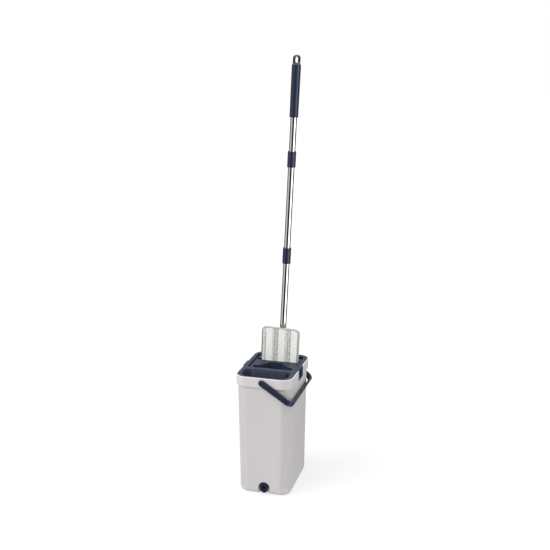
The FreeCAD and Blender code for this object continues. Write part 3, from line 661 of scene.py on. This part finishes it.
def swept_ring(name, profile, material):
    """Closed ring round the pad, from a profile of depths in from the edge and places in the thickness."""
    rim = rounded_outline(0.0)
    verts = []
    for point, out in rim:
        share = tape_share(out)
        tucked = point - out * (1 - share) * TUCK
        for depth, w in profile:
            verts.append(tucked - out * depth * (share if w < 0 else 1) + Vector((0, w, 0)))
    count = len(profile)
    faces = []
    for i in range(len(rim)):
        here = i * count
        onward = (i + 1) % len(rim) * count
        for j in range(count):
            k = (j + 1) % count
            faces.append((here + j, onward + j, onward + k, here + k))
    return new_object(name, verts, faces, material)


def inner_side(depth, w, half):
    """The point on the tape's inner side that answers to one on its outer side."""
    inward = max(depth, BINDING_THICK) + (BINDING_THICK if depth <= SHOULDER_IN else 0.0)
    on_leg = abs(w) > half * LEG_SHARE
    return inward, w - math.copysign(BINDING_THICK, w) if on_leg else w


def binding():
    """Tape folded over the pad's edge."""
    half = PAD_DEPTH / 2 - BINDING_MARGIN
    shoulder = half * SHOULDER_SHARE
    front_leg = [(BINDING_REACH, -half + 2 * BINDING_MARGIN), (FOLD_IN, -half), (SHOULDER_IN, -shoulder)]
    back_leg = [(SHOULDER_IN, shoulder), (FOLD_IN, half), (BINDING_REACH, half - BINDING_MARGIN)]
    outer = [*front_leg, (0.0, 0.0), *back_leg]
    inner = [inner_side(depth, w, half) for depth, w in reversed(outer)]
    ring = swept_ring("mop_pad_binding", outer + inner, binding_tape())
    for vertex in ring.data.vertices:
        rumple = noise.noise(vertex.co * RUMPLES) * RUMPLE
        vertex.co.x += rumple
        vertex.co.z += rumple
    finer = ring.modifiers.new("finer", "SUBSURF")
    finer.levels = finer.render_levels = 1
    apply_modifiers(ring)
    smooth(ring)
    return ring


def thread_tube(name, points, radius, sides, material):
    """Closed thread through a loop of points."""
    verts = []
    count = len(points)
    for i, point in enumerate(points):
        along = (points[(i + 1) % count] - points[i - 1]).normalized()
        side = along.cross(Vector((0, 1, 0))).normalized()
        up = side.cross(along)
        for j in range(sides):
            angle = 2 * math.pi * j / sides
            verts.append(point + (side * math.cos(angle) + up * math.sin(angle)) * radius)
    faces = []
    for i in range(count):
        for j in range(sides):
            a = i * sides
            b = (i + 1) % count * sides
            k = (j + 1) % sides
            faces.append((a + j, b + j, b + k, a + k))
    made = new_object(name, verts, faces, material)
    smooth(made)
    return made


def overlock():
    """Zigzag thread that holds the binding, on the front and the back."""
    rim = rounded_outline(0.0)
    lengths = [0.0]
    for i in range(len(rim)):
        lengths.append(lengths[-1] + (rim[(i + 1) % len(rim)][0] - rim[i][0]).length)
    stitches = round(lengths[-1] / STITCH_PITCH)
    thread = stitch_thread()
    made = []
    for label, face in (("front", -1), ("back", 1)):
        points = []
        i = 0
        for stitch in range(2 * stitches):
            run = lengths[-1] * stitch / (2 * stitches)
            while lengths[i + 1] < run:
                i += 1
            share = (run - lengths[i]) / (lengths[i + 1] - lengths[i])
            point, out = rim[i]
            after, out_after = rim[(i + 1) % len(rim)]
            out = out.lerp(out_after, share).normalized()
            depth = BINDING_REACH + (STITCH_PAST_TAPE if stitch % 2 else -STITCH_ON_TAPE)
            depth *= tape_share(out) if face < 0 else 1
            lift = Vector((0, face * (PAD_DEPTH / 2 - BINDING_MARGIN), 0))
            points.append(point.lerp(after, share) - out * depth + lift)
        made.append(thread_tube("mop_pad_stitch_" + label, points, STITCH_R, STITCH_SIDES, thread))
    return made


def mop_pad():
    """The soft pad with its binding and thread, in place of the plain CAD one."""
    pad = flat_slab()
    swell(pad)
    raise_pile(pad)
    paint_back(pad)
    smooth(pad)
    trims = [binding(), *overlock()]
    for trim in trims:
        trim.parent = pad
    pad.matrix_world = pad_frame()
    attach(pad, "head")
    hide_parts("mop_pad")


# ---------------------------------------------------------------- studio
def broad_light(name, toward, strength, width, color=(1, 1, 1)):
    """Even light from a wide patch of the studio: toward is the way to it, width its angle in degrees."""
    data = bpy.data.lights.new(name, "SUN")
    data.energy = strength
    data.angle = math.radians(width)
    data.color = color
    light = bpy.data.objects.new(name, data)
    light.rotation_euler = Vector(toward).to_track_quat("Z", "Y").to_euler()
    light.visible_glossy = False
    bpy.context.scene.collection.objects.link(light)


def studio_walls(nodes, links, place):
    """Colour of the bright and dark walls by azimuth, at a place on the world's sphere."""
    # The radial gradient starts at -X, so turn it until its seam lies straight behind the object.
    turn = nodes.new("ShaderNodeVectorRotate")
    turn.rotation_type = "Z_AXIS"
    turn.inputs["Angle"].default_value = math.radians(90 - CAMERA_YAW)
    links.new(place, turn.inputs["Vector"])
    radial = nodes.new("ShaderNodeTexGradient")
    radial.gradient_type = "RADIAL"
    links.new(turn.outputs["Vector"], radial.inputs["Vector"])
    walls = nodes.new("ShaderNodeValToRGB")
    links.new(radial.outputs["Fac"], walls.inputs["Fac"])
    ramp = walls.color_ramp
    for i, (azimuth, color) in enumerate(STUDIO_WALLS[:-1]):
        position = (azimuth + 180) / 360
        stop = ramp.elements[0] if i == 0 else ramp.elements.new(position)
        stop.position = position
        stop.color = (*color, 1)
    ramp.elements[-1].color = (*STUDIO_WALLS[-1][1], 1)
    return walls.outputs["Color"]


def studio_world():
    """White to the camera, even soft light on surfaces, and walls and a bright ceiling for gloss."""
    world = bpy.data.worlds.new("studio")
    world.use_nodes = True
    bpy.context.scene.world = world
    tree = world.node_tree
    nodes, links = tree.nodes, tree.links

    def blend(share, a, b):
        """Colour a where share is 0, b where it is 1; both are sockets or colours."""
        mix = nodes.new("ShaderNodeMix")
        mix.data_type = "RGBA"
        links.new(share, mix.inputs[0])
        for socket, value in ((mix.inputs[6], a), (mix.inputs[7], b)):
            if isinstance(value, bpy.types.NodeSocket):
                links.new(value, socket)
            else:
                socket.default_value = (*value, 1)
        return mix.outputs[2]

    place = nodes.new("ShaderNodeTexCoord").outputs["Generated"]
    height = nodes.new("ShaderNodeSeparateXYZ")
    links.new(place, height.inputs[0])
    up = nodes.new("ShaderNodeMapRange")
    up.inputs["From Min"].default_value = CEILING_STARTS
    up.inputs["From Max"].default_value = CEILING_FULL
    links.new(height.outputs["Z"], up.inputs["Value"])
    path = nodes.new("ShaderNodeLightPath")
    gloss = blend(up.outputs["Result"], studio_walls(nodes, links, place), CEILING)
    seen = blend(path.outputs["Is Glossy Ray"], AMBIENT, gloss)
    final = blend(path.outputs["Is Camera Ray"], seen, (1.0, 1.0, 1.0))
    links.new(final, nodes["Background"].inputs["Color"])


def floor():
    """Wide pale floor with a faint mottle."""
    finish = Finish("studio_floor", (0.30, 0.30, 0.30), 0.9, Specular_IOR_Level=0.0,
                    Emission_Color=(1, 1, 1, 1), Emission_Strength=FLOOR_GLOW)
    mottle = finish.spread(finish.noise(3, 3), 0, 1)
    finish.set("Base Color", finish.mix(mottle, (0.297, 0.297, 0.298), (0.303, 0.303, 0.303)))
    mesh = bmesh.new()
    bmesh.ops.create_circle(mesh, cap_ends=True, segments=96, radius=FLOOR_RADIUS)
    data = bpy.data.meshes.new("studio_floor")
    mesh.to_mesh(data)
    mesh.free()
    data.materials.append(finish.material)
    made = bpy.data.objects.new("studio_floor", data)
    bpy.context.scene.collection.objects.link(made)
    made.location.z = -FLOOR_DROP
    made.visible_glossy = False


def camera():
    """The camera that the main picture is taken with."""
    data = bpy.data.cameras.new("camera")
    data.lens = CAMERA_LENS
    data.sensor_width = CAMERA_SENSOR
    made = bpy.data.objects.new("camera", data)
    made.location = CAMERA_PLACE
    made.rotation_euler = (math.radians(90 - CAMERA_PITCH), 0, math.radians(CAMERA_YAW))
    bpy.context.scene.collection.objects.link(made)
    bpy.context.scene.camera = made


bpy.context.scene.view_settings.view_transform = "Standard"
camera()
floor()
studio_world()
broad_light("key", (-0.66, -0.49, 0.57), 2.0, 50, (1.0, 0.99, 0.985))
broad_light("top", (-0.15, -0.45, 0.88), 0.50, 40)
broad_light("fill", (0.85, 0.42, 0.32), 1.10, 50)
dress_nodes()
mop_pad()
